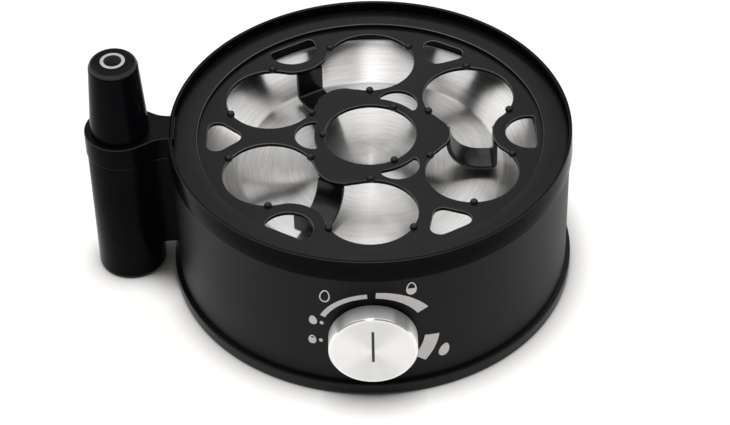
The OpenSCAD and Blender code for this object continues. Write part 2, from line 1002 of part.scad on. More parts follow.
module knob_core() {
    web_low = knob_edge - cap_t - 3;
    color([0.1, 0.1, 0.1])
        on_knob_axis()
            difference() {
                union() {
                    disc(hub_r, hub_low, web_low + 1);
                    disc(knob_r - cap_t - press, web_low, knob_edge - knob_bevel - cap_t);
                    tube(knob_r - cap_t - press, knob_r - cap_t - 2, knob_back + 0.5, web_low + 1);
                }
                difference() {
                    disc(shaft_r + press, hub_low - 1, shaft_end + 0.2);
                    shaft_flat(press);
                }
            }
}

shaft_end = knob_face - 4.5;
shaft_flat_from = hub_low + 1;
shaft_flat_d = 0.8;

module shaft_flat(clearance) {
    translate([-shaft_r - 1, shaft_r - shaft_flat_d + clearance, shaft_flat_from])
        cube([2 * shaft_r + 2, 3, 20]);
}

module knob_pointer() {
    color([0.02, 0.02, 0.02])
        on_knob_axis()
            intersection() {
                pointer_bar(knob_edge - cap_t, knob_face + 1);
                rotate_extrude()
                    translate([0, 0.05])
                        knob_outline(0);
            }
}

regulator_h = 18;
regulator_front = inner_r - 5.3;
regulator_size = [34, 29];
neck_r = 5;
neck_end = inner_r - 0.6;
ring_nut_r = 8;
ring_nut_h = 2.4;
tab_size = [4.8, 0.8, 7.5];
tab_pitch = 10;
tab_drop = 6;
shaft_seat = 4;
bracket_t = 1.5;
bracket_w = 40;
bracket_foot = 14;

module control_shaft() {
    color([0.8, 0.8, 0.8])
        on_knob_axis()
            difference() {
                disc(shaft_r, regulator_front - regulator_h + shaft_seat, shaft_end);
                shaft_flat(0);
            }
}

module regulator() {
    low = regulator_front - regulator_h;
    color([0.2, 0.2, 0.22])
        on_knob_axis()
            difference() {
                union() {
                    translate([-regulator_size[0] / 2, -regulator_size[1] / 2, low])
                        cube([regulator_size[0], regulator_size[1], regulator_h]);
                    disc(neck_r, regulator_front - eps, neck_end);
                    for (x = [-1, 0, 1] * tab_pitch)
                        translate([x - tab_size[0] / 2, -tab_drop, low - tab_size[2] + 0.5])
                            cube(tab_size);
                }
                disc(shaft_r + shaft_fit, low + shaft_seat - 0.5, neck_end + 1);
            }
}

module regulator_nut() {
    low = regulator_front + bracket_t;
    color([0.72, 0.7, 0.6])
        on_knob_axis()
            difference() {
                translate([0, 0, low])
                    cylinder(r = ring_nut_r, h = ring_nut_h, $fn = 6);
                disc(neck_r + 0.02, low - 1, low + 4);
            }
}

module at_bracket_screws() {
    for (x = [-bracket_w, bracket_w] * 0.3)
        translate([x, -regulator_front + bracket_foot / 2, 0])
            children();
}

module regulator_bracket() {
    color([0.7, 0.7, 0.72])
        difference() {
            union() {
                translate([-bracket_w / 2, -regulator_front - bracket_t, plate_top])
                    cube([bracket_w, bracket_t, knob_z + bracket_foot - plate_top]);
                translate([-bracket_w / 2, -regulator_front - bracket_t, plate_top])
                    cube([bracket_w, bracket_foot, bracket_t]);
            }
            on_knob_axis()
                disc(neck_r + 0.15, regulator_front - 1, regulator_front + 4);
            at_bracket_screws()
                disc(small_screw_r + 0.2, plate_top - 1, plate_top + 4);
        }
}

// A short screw with its head on top, its thread reaching down from the given height
module down_screw(top, length) {
    translate([0, 0, top + small_head_h])
        mirror([0, 0, 1])
            screw(small_screw_r - 0.1, length, small_head_r, small_head_h);
}

module bracket_screws() {
    color([0.7, 0.7, 0.72])
        at_bracket_screws()
            down_screw(plate_top + bracket_t, bracket_t + short_screw_l);
}

module circuit_board() {
    color([0.1, 0.3, 0.16])
        difference() {
            translate([board_place[0] - board_size[0] / 2, board_place[1] - board_size[1] / 2, board_z])
                cube(board_size);
            at_board_corners()
                disc(small_screw_r + 0.2, board_z - 1, board_z + 3);
        }
}

module board_screws() {
    color([0.7, 0.7, 0.72])
        at_board_corners()
            down_screw(board_z + board_size[2], board_size[2] + board_gap - short_screw_l);
}

module buzzer() {
    top = board_z + board_size[2];
    color([0.07, 0.07, 0.07])
        translate([board_place[0] + 8, board_place[1] + 4, 0])
            difference() {
                disc(7, top, top + 8);
                disc(1, top + 5, top + 9);
            }
}

terminal_place = [-22, 48];
terminal_size = [26, 12, 13];
terminal_foot_t = 2;
terminal_foot_w = 8;
terminal_ear = 6;
terminal_wire_r = 1.8;
terminal_wire_z = 6;
terminal_pitch = 8;
terminal_screw_x = terminal_size[0] / 2 + terminal_ear / 2;

module at_terminal_screws() {
    for (side = [-1, 1])
        translate([terminal_place[0] + side * terminal_screw_x, terminal_place[1], 0])
            children();
}

module terminal_block() {
    color([0.85, 0.85, 0.82])
        translate([terminal_place[0], terminal_place[1], plate_top])
            difference() {
                union() {
                    translate([-terminal_size[0] / 2, -terminal_size[1] / 2, 0])
                        cube(terminal_size);
                    translate([-terminal_size[0] / 2 - terminal_ear, -terminal_foot_w / 2, 0])
                        cube([terminal_size[0] + 2 * terminal_ear, terminal_foot_w, terminal_foot_t]);
                }
                for (way = [-1, 0, 1])
                    translate([way * terminal_pitch, 0, terminal_wire_z])
                        rotate([90, 0, 0])
                            cylinder(r = terminal_wire_r, h = 2 * terminal_size[1], center = true);
                for (side = [-1, 1])
                    translate([side * terminal_screw_x, 0, 0])
                        disc(small_screw_r + 0.2, -1, 2 * terminal_foot_t);
            }
}

module terminal_screws() {
    color([0.7, 0.7, 0.72])
        at_terminal_screws()
            down_screw(plate_top + terminal_foot_t, terminal_foot_t + short_screw_l);
}

module cord_gland() {
    inside = sqrt(pow(inner_r, 2) - pow(gland_flange_r, 2)) - 0.3;
    color([0.08, 0.08, 0.08])
        on_gland_axis()
            difference() {
                union() {
                    disc(gland_r, inside - gland_flange_t, body_r + 0.1 + gland_flange_t);
                    disc(gland_flange_r, inside - gland_flange_t, inside);
                    disc(gland_flange_r, body_r + 0.1, body_r + 0.1 + gland_flange_t);
                }
                disc(gland_bore_r, inside - gland_flange_t - 1, body_r + gland_flange_t + 2);
            }
}

// Arc of the dial between two directions, thickening from one outer radius to the other
module dial_arc(from, to, outer_from, outer_to) {
    steps = 12;
    turn = (to - from) / steps;
    outer = [for (i = [0 : steps]) let (r = outer_from + (outer_to - outer_from) * i / steps)
        [r * cos(from + i * turn), r * sin(from + i * turn)]];
    inner = [for (i = [steps : -1 : 0]) let (a = from + i * turn) dial_in_r * [cos(a), sin(a)]];
    polygon(concat(outer, inner));
}

// Egg shape, narrow end up
module egg(width, height) {
    steps = 32;
    polygon([for (i = [0 : steps - 1]) let (a = i * 360 / steps)
        [width / 2 * cos(a) * (1 - 0.16 * sin(a)), height / 2 * sin(a)]]);
}

module egg_line(width, height, line) {
    difference() {
        egg(width, height);
        egg(width - 2 * line, height - 2 * line);
    }
}

// Egg outline with its lower part filled
module egg_filled(width, height, line, level) {
    egg_line(width, height, line);
    intersection() {
        egg(width, height);
        translate([-width, -height])
            square([2 * width, height + level]);
    }
}

dial_in_r = knob_r + dial_gap;
soft_arc = [155, 95.2];
medium_arc = [86.4, 30.9];
hard_arc = [-7, -38.4];
egg_size = [4.8, 6.7];
small_egg_size = [3.7, 4.7];
egg_line_w = 0.6;
dot_r = 0.9;

// The pictograms are drawn a little slim, so that they look upright on the round wall
pictogram_scale = [0.93, 1.08];

// Each mark's direction, its distance beyond the arcs' inner radius and its lean
soft_mark = [132.5, 7.5, -8];
medium_mark = [57.9, 8.9, 0];
hard_mark = [-24.8, 11.5, -14];
whole_mark = [165.5, 4.05, 3];
whole_dot = [165.1, 0.2, 0];
part_mark = [191.1, 4.3, -5];
part_dot = [192.2, 0.6, 0];
part_level = 0.8;

module at_dial(mark) {
    rotate(mark[0])
        translate([dial_in_r + mark[1], 0])
            rotate(mark[2] - mark[0])
                scale(pictogram_scale)
                    children();
}

module dial_outline() {
    dial_arc(soft_arc[0], soft_arc[1], dial_in_r + soft_w, dial_in_r + soft_w);
    dial_arc(medium_arc[0], medium_arc[1], dial_in_r + medium_w[0], dial_in_r + medium_w[1]);
    dial_arc(hard_arc[0], hard_arc[1], dial_in_r + hard_w, dial_in_r + hard_w);
    at_dial(soft_mark)
        egg_line(egg_size[0], egg_size[1], egg_line_w);
    at_dial(medium_mark)
        egg_filled(egg_size[0], egg_size[1], egg_line_w, 0);
    at_dial(hard_mark)
        egg(egg_size[0], egg_size[1]);
    at_dial(whole_mark)
        egg(small_egg_size[0], small_egg_size[1]);
    at_dial(whole_dot)
        circle(r = dot_r);
    at_dial(part_mark)
        egg_filled(small_egg_size[0], small_egg_size[1], egg_line_w, part_level);
    at_dial(part_dot)
        circle(r = dot_r);
}

module dial_print() {
    color([0.78, 0.75, 0.72])
        intersection() {
            tube(body_r + print_t, body_r + 0.005, wall_z, seam_z);
            on_knob_axis()
                linear_extrude(body_r + 5)
                    dial_outline();
        }
}

housing();
inlet_panel();
column();
collar();
column_cap();
base_ring();
base_plate();
feet();
base_screws();
collar_screws();
column_cover();
pivot_post();
socket_sleeve();
post_bush();
post_clip();
egg_tray();
tray_rim();
tray_skirt();
tray_saddles();
heating_dish();
dish_seal();
dish_clamps();
clamp_screws();
dish_studs();
heating_element();
element_plate();
shield_spacers();
heat_shield();
stud_nuts();
thermostat();
thermostat_clip();
thermal_fuse();
fuse_clip();
knob_cap();
knob_core();
knob_pointer();
control_shaft();
regulator();
regulator_nut();
regulator_bracket();
bracket_screws();
circuit_board();
board_screws();
buzzer();
terminal_block();
terminal_screws();
cord_gland();
dial_print();
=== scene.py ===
"""Looks of the egg cooker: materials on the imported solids, and smoother pieces where light
catches an edge.

Lengths in the helpers are millimetres, as in the part; MM turns them into metres at the mesh.
"""

import json
import math

import bmesh
import bpy
import numpy as np
from mathutils import Matrix, Vector


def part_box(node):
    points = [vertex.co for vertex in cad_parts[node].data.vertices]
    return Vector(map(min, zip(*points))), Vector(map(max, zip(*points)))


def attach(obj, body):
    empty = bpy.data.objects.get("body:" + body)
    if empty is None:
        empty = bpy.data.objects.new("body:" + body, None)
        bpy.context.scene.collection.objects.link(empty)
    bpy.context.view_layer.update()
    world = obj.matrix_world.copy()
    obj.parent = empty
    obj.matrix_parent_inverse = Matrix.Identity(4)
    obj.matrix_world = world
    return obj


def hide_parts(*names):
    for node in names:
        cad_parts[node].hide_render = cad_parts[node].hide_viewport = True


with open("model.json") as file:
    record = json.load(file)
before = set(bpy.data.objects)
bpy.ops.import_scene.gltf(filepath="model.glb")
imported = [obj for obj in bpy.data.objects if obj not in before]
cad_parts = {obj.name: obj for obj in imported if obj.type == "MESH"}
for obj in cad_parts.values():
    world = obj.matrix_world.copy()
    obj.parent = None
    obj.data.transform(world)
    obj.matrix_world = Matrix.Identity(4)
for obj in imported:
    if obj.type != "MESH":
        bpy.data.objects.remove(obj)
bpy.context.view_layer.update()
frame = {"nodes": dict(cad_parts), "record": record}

MM = 0.001
TAU = 2 * math.pi
MERGE = 1e-7
ON_AXIS = 1e-6

# Camera
TARGET = Vector((-4.32, -17.49, 58.8)) * MM
DISTANCE = 1.100
ELEVATION = math.radians(41.61)
AZIMUTH = math.radians(0.72)
ROLL = math.radians(1.44)
IMAGE_W = 730
IMAGE_H = 425
FOCAL_PX = 2461.0
CENTRE_PX = (361.3, 182.8)
SENSOR = 36.0


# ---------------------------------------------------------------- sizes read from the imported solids


def low(node, axis):
    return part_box(node)[0][axis] / MM


def high(node, axis):
    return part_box(node)[1][axis] / MM


# ---------------------------------------------------------------- mesh helpers


def link(obj):
    bpy.context.scene.collection.objects.link(obj)
    return obj


def mesh_object(name, verts, faces, smooth_angle):
    mesh = bpy.data.meshes.new(name)
    mesh.from_pydata([Vector(v) * MM for v in verts], [], faces)
    mesh.update()
    obj = link(bpy.data.objects.new(name, mesh))
    tidy_normals(obj, smooth_angle)
    return obj


def tidy_normals(obj, smooth_angle):
    bm = bmesh.new()
    bm.from_mesh(obj.data)
    bmesh.ops.remove_doubles(bm, verts=bm.verts, dist=MERGE)
    bmesh.ops.recalc_face_normals(bm, faces=bm.faces)
    bm.to_mesh(obj.data)
    bm.free()
    for poly in obj.data.polygons:
        poly.use_smooth = True
    obj.data.set_sharp_from_angle(angle=math.radians(smooth_angle))


def round_corners(points, radii, steps=5, closed=True):
    """Replaces each corner of a 2D outline by an arc of the given radius (0 keeps it sharp)."""
    result = []
    count = len(points)
    for i, (point, radius) in enumerate(zip(points, radii)):
        ends = not closed and i in (0, count - 1)
        if radius <= 0 or ends:
            result.append(tuple(point))
            continue
        p = Vector(point)
        a = (Vector(points[i - 1]) - p).normalized()
        b = (Vector(points[(i + 1) % count]) - p).normalized()
        half = a.angle(b) / 2
        reach = radius / math.tan(half)
        start = p + a * reach
        end = p + b * reach
        centre = p + (a + b).normalized() * (radius / math.sin(half))
        u = start - centre
        v = end - centre
        sweep = u.angle(v)
        turn = 1 if u.x * v.y - u.y * v.x > 0 else -1
        for s in range(steps + 1):
            t = turn * sweep * s / steps
            x = u.x * math.cos(t) - u.y * math.sin(t)
            y = u.x * math.sin(t) + u.y * math.cos(t)
            result.append((centre.x + x, centre.y + y))
    return result


def revolve(name, profile, segments=240, smooth_angle=35.0, place=None):
    """Turns a closed (radius, height) outline round Z and puts it in place with a matrix in mm."""
    verts = []
    rings = []
    for radius, height in profile:
        if radius < ON_AXIS:
            rings.append([len(verts)] * segments)
            verts.append(Vector((0, 0, height)))
            continue
        rings.append([len(verts) + i for i in range(segments)])
        for i in range(segments):
            a = TAU * i / segments
            verts.append(Vector((radius * math.cos(a), radius * math.sin(a), height)))
    faces = []
    count = len(profile)
    for k in range(count):
        one = rings[k]
        two = rings[(k + 1) % count]
        for i in range(segments):
            j = (i + 1) % segments
            corners = [one[i], one[j], two[j], two[i]]
            unique = list(dict.fromkeys(corners))
            if len(unique) > 2:
                faces.append(unique)
    if place is not None:
        verts = [place @ v for v in verts]
    return mesh_object(name, verts, faces, smooth_angle)


def join(name, objects):
    """Joins meshes into the first one."""
    bpy.ops.object.select_all(action="DESELECT")
    for obj in objects:
        obj.select_set(True)
    bpy.context.view_layer.objects.active = objects[0]
    bpy.ops.object.join()
    objects[0].name = name
    objects[0].data.name = name
    return objects[0]


def apply_modifiers(obj):
    bpy.context.view_layer.objects.active = obj
    bpy.ops.object.select_all(action="DESELECT")
    obj.select_set(True)
    bpy.ops.object.convert(target="MESH")
    return obj


# ---------------------------------------------------------------- signed distances and outlines

SMOOTH_PASSES = 3
FEWEST_POINTS = 12
SHEET_SMOOTH_ANGLE = 60.0
FLAT_FACE_WEIGHT = 95


def circle_field(x, y, cx, cy, radius):
    return np.hypot(x - cx, y - cy) - radius


def box_field(x, y, x0, x1, y0, y1):
    dx = np.abs(x - (x0 + x1) / 2) - (x1 - x0) / 2
    dy = np.abs(y - (y0 + y1) / 2) - (y1 - y0) / 2
    outside = np.hypot(np.maximum(dx, 0), np.maximum(dy, 0))
    return outside + np.minimum(np.maximum(dx, dy), 0)


def union_round(a, b, k):
    h = np.clip(0.5 + 0.5 * (b - a) / k, 0, 1)
    return b + (a - b) * h - k * h * (1 - h)


def cut_round(a, b, k):
    return -union_round(-a, -b, k)


def triangle_field(x, y, points):
    inside = np.ones_like(x, dtype=bool)
    nearest = np.full_like(x, 1e9)
    for i, (ax, ay) in enumerate(points):
        bx, by = points[(i + 1) % len(points)]
        ex, ey = bx - ax, by - ay
        t = np.clip(((x - ax) * ex + (y - ay) * ey) / (ex * ex + ey * ey), 0, 1)
        nearest = np.minimum(nearest, np.hypot(x - ax - ex * t, y - ay - ey * t))
        inside &= (ex * (y - ay) - ey * (x - ax)) >= 0
    return np.where(inside, -nearest, nearest)


def trace(field, origin, step):
    """Closed outlines where the field crosses zero, as lists of (x, y), by marching squares."""
    links = {}
    neg = field < 0

    def cross(i0, j0, i1, j1):
        a, b = field[i0, j0], field[i1, j1]
        t = a / (a - b)
        return (origin + step * (i0 + (i1 - i0) * t), origin + step * (j0 + (j1 - j0) * t))

    points = {}
    cells = neg[:-1, :-1].astype(int) + neg[1:, :-1] + neg[:-1, 1:] + neg[1:, 1:]
    for i, j in np.argwhere((cells > 0) & (cells < 4)):
        edges = []
        corners = [(i, j), (i + 1, j), (i + 1, j + 1), (i, j + 1)]
        for k in range(4):
            a = corners[k]
            b = corners[(k + 1) % 4]
            if neg[a] != neg[b]:
                key = (min(a, b), max(a, b))
                points.setdefault(key, cross(*key[0], *key[1]))
                edges.append(key)
        for k in range(0, len(edges), 2):
            links.setdefault(edges[k], []).append(edges[k + 1])
            links.setdefault(edges[k + 1], []).append(edges[k])
    loops = []
    left = set(links)
    while left:
        start = min(left)
        loop = [start]
        left.discard(start)
        here = links[start][0]
        while here != start and here in left:
            loop.append(here)
            left.discard(here)
            onward = [n for n in links[here] if n in left]
            here = onward[0] if onward else start
        loops.append([points[k] for k in loop])
    return loops


def thin_out(loop, spacing):
    """Smooths a traced outline a little and spaces its points evenly."""
    p = np.array(loop)
    for _ in range(SMOOTH_PASSES):
        p = (np.roll(p, 1, 0) + 2 * p + np.roll(p, -1, 0)) / 4
    closed = np.vstack([p, p[:1]])
    lengths = np.hypot(*np.diff(closed, axis=0).T)
    along = np.concatenate([[0], np.cumsum(lengths)])
    count = max(FEWEST_POINTS, int(along[-1] / spacing))
    at = np.linspace(0, along[-1], count, endpoint=False)
    return np.stack([np.interp(at, along, closed[:, 0]), np.interp(at, along, closed[:, 1])], 1)


def rounded_sheet(name, loops, bottom, top, edge):
    """A flat sheet with holes, given by its outlines, with rounded edges."""
    curve = bpy.data.curves.new(name, "CURVE")
    curve.dimensions = "2D"
    curve.fill_mode = "BOTH"
    curve.extrude = ((top - bottom) / 2 - edge) * MM
    curve.bevel_depth = edge * MM
    curve.bevel_resolution = 2
    curve.offset = -edge * MM
    for loop in loops:
        spline = curve.splines.new("POLY")
        spline.points.add(len(loop) - 1)
        for point, (x, y) in zip(spline.points, loop):
            point.co = (x * MM, y * MM, 0, 1)
        spline.use_cyclic_u = True
    obj = link(bpy.data.objects.new(name, curve))
    apply_modifiers(obj)
    obj.data.transform(Matrix.Translation((0, 0, (top + bottom) / 2 * MM)))
    tidy_normals(obj, SHEET_SMOOTH_ANGLE)
    weighted = obj.modifiers.new("weighted", "WEIGHTED_NORMAL")
    weighted.weight = FLAT_FACE_WEIGHT
    weighted.keep_sharp = True
    return apply_modifiers(obj)


# ---------------------------------------------------------------- material helpers


class Nodes:
    """Short names for building one material's node tree."""

    def __init__(self, name):
        self.material = bpy.data.materials.new(name)
        self.material.use_nodes = True
        self.tree = self.material.node_tree
        self.tree.nodes.clear()
        self.output = self.tree.nodes.new("ShaderNodeOutputMaterial")
        self.shader = self.tree.nodes.new("ShaderNodeBsdfPrincipled")
        self.wire(self.shader.outputs[0], self.output.inputs[0])

    def wire(self, source, target):
        self.tree.links.new(source, target)

    def put(self, node, **values):
        for key, value in values.items():
            node.inputs[key.replace("_", " ")].default_value = value

    def new(self, kind, **settings):
        node = self.tree.nodes.new("ShaderNode" + kind)
        for key, value in settings.items():
            setattr(node, key, value)
        return node

    def maths(self, operation, a, b=None):
        node = self.new("Math", operation=operation)
        for socket, value in zip(node.inputs, (a, b)):
            if value is None:
                continue
            if isinstance(value, (int, float)):
                socket.default_value = value
            else:
                self.wire(value, socket)
        return node.outputs[0]

    def coords(self):
        return self.new("TexCoord").outputs["Object"]

    def noise(self, vector, scale, detail=3.0, roughness=0.5):
        node = self.new("TexNoise")
        self.put(node, Scale=scale, Detail=detail, Roughness=roughness)
        self.wire(vector, node.inputs["Vector"])
        return node.outputs["Fac"]

    def spread(self, value, low_value, high_value, start=0.0, stop=1.0):
        node = self.new("MapRange")
        self.put(node, From_Min=start, From_Max=stop, To_Min=low_value, To_Max=high_value)
        self.wire(value, node.inputs["Value"])
        return node.outputs[0]

    def blend_colours(self, factor, one, two):
        """Mixes two colours, each a constant or a socket."""
        node = self.new("Mix", data_type="RGBA")
        sockets = {socket.identifier: socket for socket in (*node.inputs, *node.outputs)}
        for key, colour in (("A_Color", one), ("B_Color", two)):
            if isinstance(colour, tuple):
                sockets[key].default_value = (*colour, 1)
            else:
                self.wire(colour, sockets[key])
        self.wire(factor, node.inputs["Factor"])
        return sockets["Result_Color"]

    def bump(self, height, strength, distance):
        node = self.new("Bump")
        self.put(node, Strength=strength, Distance=distance)
        self.wire(height, node.inputs["Height"])
        self.wire(node.outputs[0], self.shader.inputs["Normal"])


# Scales of the noises; the spun lines' is given along the radius, the angle and the height
MOULD_PATCHES = 18.0
MOULD_GRAIN = 2600.0
SPUN_LINES = (2600.0, 3.0, 900.0)
METAL_PATCHES = 60.0
METAL_GRAIN = 1800.0
MATT_PATCHES = 90.0
MATT_GRAIN = 1500.0
KNOB_GRAIN = 2400.0

# Heights of the bumps, in metres
MOULD_DEPTH = 0.00004
METAL_DEPTH = 0.00002
MATT_DEPTH = 0.00003

# Most of a noise's values lie in this range
MIDDLE = (0.3, 0.7)

# Painted highlights lighten slanting edges; walls shine less than what faces up
EDGE_HIGHLIGHT_SLANT = (0.12, 0.24)
WALL_SHINE = 0.3
SHINE_RISE = (0.05, 0.45)

# Distances behind the knob's face, in metres
FACE_END = (0.00045, 0.00055)
SIDE_START = (0.0011, 0.0013)
# over this span the knob's colour is painted darker, as shade and the dark wall's reflection
PAINTED_WALL_SHADE = (0.0015, 0.0105)
BEVEL_ROUGH = 0.16
SATIN_ROUGH = 0.26

BRUSHED = 0.95
KNOB_BRUSHED = 0.92
BRUSH_TURN = 0.25


def moulded(name, base, lighter, rough_low, rough_high, shine, edge_highlight):
    """Black moulded plastic: fine grain, slow gloss patches, and painted highlights on its edges."""
    n = Nodes(name)
    at = n.coords()
    patches = n.noise(at, MOULD_PATCHES, 4.0)
    fine = n.noise(at, MOULD_GRAIN, 2.0)
    plain = n.blend_colours(patches, base, lighter)
    if edge_highlight is None:
        n.wire(plain, n.shader.inputs["Base Color"])
    else:
        facing = n.new("SeparateXYZ")
        n.wire(n.new("NewGeometry").outputs["Normal"], facing.inputs[0])
        up = facing.outputs[2]
        # painted highlight: where the normal slants, on rounded edges, the lighter colour is mixed
        # in, unevenly by patches
        slant = n.maths("MULTIPLY", up, n.maths("SUBTRACT", 1.0, up))
        uneven = n.spread(patches, 0.5, 1.0, *MIDDLE)
        edge = n.maths("MULTIPLY", n.spread(slant, 0.0, 1.0, *EDGE_HIGHLIGHT_SLANT), uneven)
        n.wire(n.blend_colours(edge, plain, edge_highlight), n.shader.inputs["Base Color"])
        level = n.spread(up, shine * WALL_SHINE, shine, *SHINE_RISE)
        n.wire(level, n.shader.inputs["Specular IOR Level"])
    slow = n.spread(patches, rough_low, rough_high, *MIDDLE)
    rough = n.maths("ADD", slow, n.spread(fine, -0.02, 0.02))
    n.wire(rough, n.shader.inputs["Roughness"])
    n.shader.inputs["Specular IOR Level"].default_value = shine
    n.bump(fine, 0.25, MOULD_DEPTH)
    return n.material


def spun_steel(name):
    """Stainless sheet brushed round its axis, which throws the light into fans."""
    n = Nodes(name)
    at = n.coords()
    parts = n.new("SeparateXYZ")
    n.wire(at, parts.inputs[0])
    x, y, z = parts.outputs
    radius = n.maths("SQRT", n.maths("ADD", n.maths("MULTIPLY", x, x), n.maths("MULTIPLY", y, y)))
    angle = n.maths("ARCTAN2", y, x)
    polar = n.new("CombineXYZ")
    for socket, value, scale in zip(polar.inputs, (radius, angle, z), SPUN_LINES):
        n.wire(n.maths("MULTIPLY", value, scale), socket)
    lines = n.noise(polar.outputs[0], 1.0, 4.0, 0.6)
    sharp = n.spread(lines, 0.0, 1.0, *MIDDLE)
    steel = n.blend_colours(sharp, (0.68, 0.67, 0.66), (0.98, 0.97, 0.96))
    n.wire(steel, n.shader.inputs["Base Color"])
    n.wire(n.spread(lines, 0.27, 0.37), n.shader.inputs["Roughness"])
    n.shader.inputs["Metallic"].default_value = 1.0
    n.shader.inputs["Anisotropic"].default_value = BRUSHED
    n.shader.inputs["Anisotropic Rotation"].default_value = BRUSH_TURN
    tangent = n.new("Tangent", direction_type="RADIAL", axis="Z")
    n.wire(tangent.outputs[0], n.shader.inputs["Tangent"])
    n.bump(lines, 0.3, METAL_DEPTH)
    return n.material


def plain_metal(name, base, lighter, rough_low, rough_high):
    n = Nodes(name)
    at = n.coords()
    patches = n.noise(at, METAL_PATCHES, 4.0)
    fine = n.noise(at, METAL_GRAIN, 2.0)
    n.wire(n.blend_colours(patches, base, lighter), n.shader.inputs["Base Color"])
    n.wire(n.spread(patches, rough_low, rough_high, *MIDDLE), n.shader.inputs["Roughness"])
    n.shader.inputs["Metallic"].default_value = 1.0
    n.bump(fine, 0.08, METAL_DEPTH)
    return n.material


def matt(name, base, lighter, rough_low, rough_high):
    n = Nodes(name)
    at = n.coords()
    patches = n.noise(at, MATT_PATCHES, 4.0)
    fine = n.noise(at, MATT_GRAIN, 2.0)
    n.wire(n.blend_colours(patches, base, lighter), n.shader.inputs["Base Color"])
    n.wire(n.spread(fine, rough_low, rough_high, *MIDDLE), n.shader.inputs["Roughness"])
    n.bump(fine, 0.2, MATT_DEPTH)
    return n.material


def satin_chrome(name, face):
    """Chromed knob: satin face and side, a polished bevel between, and painted shade towards the
    wall.
    """
    n = Nodes(name)
    at = n.coords()
    parts = n.new("SeparateXYZ")
    n.wire(at, parts.inputs[0])
    depth = n.maths("ADD", parts.outputs[1], face * MM)
    front = n.spread(depth, 1.0, 0.0, *FACE_END)
    side = n.spread(depth, 0.0, 1.0, *SIDE_START)
    turned = n.maths("ADD", front, side)
    fine = n.noise(at, KNOB_GRAIN, 2.0)
    uneven = n.spread(n.noise(at, METAL_PATCHES, 4.0), 0.0, 0.2)
    # painted shade: the colour darkens towards the wall in place of the wall's dark reflection, plus
    # random patches
    painted_wall_shade_and_patches = n.maths("ADD", n.spread(depth, 0.0, 0.8, *PAINTED_WALL_SHADE), uneven)
    chrome = n.blend_colours(painted_wall_shade_and_patches, (0.98, 0.98, 0.975), (0.26, 0.26, 0.26))
    n.wire(chrome, n.shader.inputs["Base Color"])
    satin = n.maths("ADD", n.maths("MULTIPLY", turned, SATIN_ROUGH), BEVEL_ROUGH)
    n.wire(n.maths("ADD", satin, n.spread(fine, -0.03, 0.03)), n.shader.inputs["Roughness"])
    n.shader.inputs["Metallic"].default_value = 1.0
    n.wire(n.maths("MULTIPLY", turned, KNOB_BRUSHED), n.shader.inputs["Anisotropic"])
    n.shader.inputs["Anisotropic Rotation"].default_value = BRUSH_TURN
    tangent = n.new("Tangent", direction_type="RADIAL", axis="Y")
    n.wire(tangent.outputs[0], n.shader.inputs["Tangent"])
    n.bump(fine, 0.06, METAL_DEPTH)
    return n.material


# Slot, two shades, the range of roughness, shine, and the colour of its painted edge highlight, if
# any
MOULDINGS = [
    ("shell_satin", (0.0048, 0.0046, 0.0068), (0.0072, 0.0069, 0.0092), 0.42, 0.50, 0.14, None),
    ("shell_gloss", (0.0022, 0.0021, 0.0035), (0.0036, 0.0034, 0.005), 0.20, 0.28, 0.10,
     (0.07, 0.069, 0.068)),
    ("black_ring", (0.005, 0.005, 0.005), (0.008, 0.008, 0.0082), 0.28, 0.36, 0.2, None),
    ("strap_black", (0.0045, 0.0045, 0.0046), (0.006, 0.006, 0.006), 0.2, 0.28, 0.45, None),
    ("tray_black", (0.0047, 0.0042, 0.0048), (0.0068, 0.0062, 0.0069), 0.22, 0.31, 0.21,
     (0.24, 0.235, 0.23)),
]

# Slot, two shades, the range of roughness
METALS = [
    ("steel_bright", (0.60, 0.60, 0.62), (0.74, 0.74, 0.75), 0.28, 0.42),
    ("element_metal", (0.16, 0.15, 0.15), (0.30, 0.29, 0.28), 0.45, 0.6),
    ("brass", (0.55, 0.43, 0.20), (0.66, 0.53, 0.27), 0.25, 0.4),
]
MATT_SURFACES = [
    ("pointer_black", (0.008, 0.008, 0.008), (0.014, 0.014, 0.014), 0.4, 0.5),
    ("print_grey", (0.88, 0.845, 0.835), (0.95, 0.915, 0.905), 0.45, 0.6),
    ("rubber", (0.020, 0.020, 0.020), (0.032, 0.032, 0.032), 0.65, 0.8),
    ("seal_red", (0.30, 0.05, 0.03), (0.38, 0.08, 0.05), 0.45, 0.6),
    ("core_black", (0.016, 0.016, 0.016), (0.024, 0.024, 0.024), 0.45, 0.6),
    ("bush_white", (0.70, 0.70, 0.67), (0.78, 0.78, 0.75), 0.35, 0.45),
    ("ceramic", (0.64, 0.62, 0.56), (0.74, 0.72, 0.66), 0.5, 0.65),
    ("board_green", (0.012, 0.10, 0.04), (0.03, 0.15, 0.07), 0.3, 0.4),
]

MATERIALS = {"steel": spun_steel("steel"),
             "chrome_satin": satin_chrome("chrome_satin", -low("knob_cap", 1))}
for make, rows in ((moulded, MOULDINGS), (plain_metal, METALS), (matt, MATT_SURFACES)):
    for row in rows:
        MATERIALS[row[0]] = make(*row)

slot_of = {row["node"]: row["material_slot"] for row in frame["record"]["subparts"]}


def dress(obj, slot):
    obj.data.materials.clear()
    obj.data.materials.append(MATERIALS[slot])


for node_name, node_object in frame["nodes"].items():
    dress(node_object, slot_of[node_name])


def fit(obj, body, *nodes):
    """Gives a new piece the finish of the node it stands for, and puts it on that node's body."""
    slot = slot_of[nodes[0]]
    dress(obj, slot)
    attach(obj, body)
    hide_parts(*nodes)


# ---------------------------------------------------------------- collar, base ring and column


WALL = 2.4
SEAM_GAP = 0.5
SEAM_DEPTH = 1.0
LIP_LEAN = 0.5
LIP_T = 1.4
SHELF_DROP = 1.9
SHELF_T = 2.2
SHELF_IN_R = 80.2
FOOT_STEP = 0.6
FOOT_WALL = 2.5
FOOT_T = 1.4
RING_SIDES = 300
CORNER_STEPS = 4


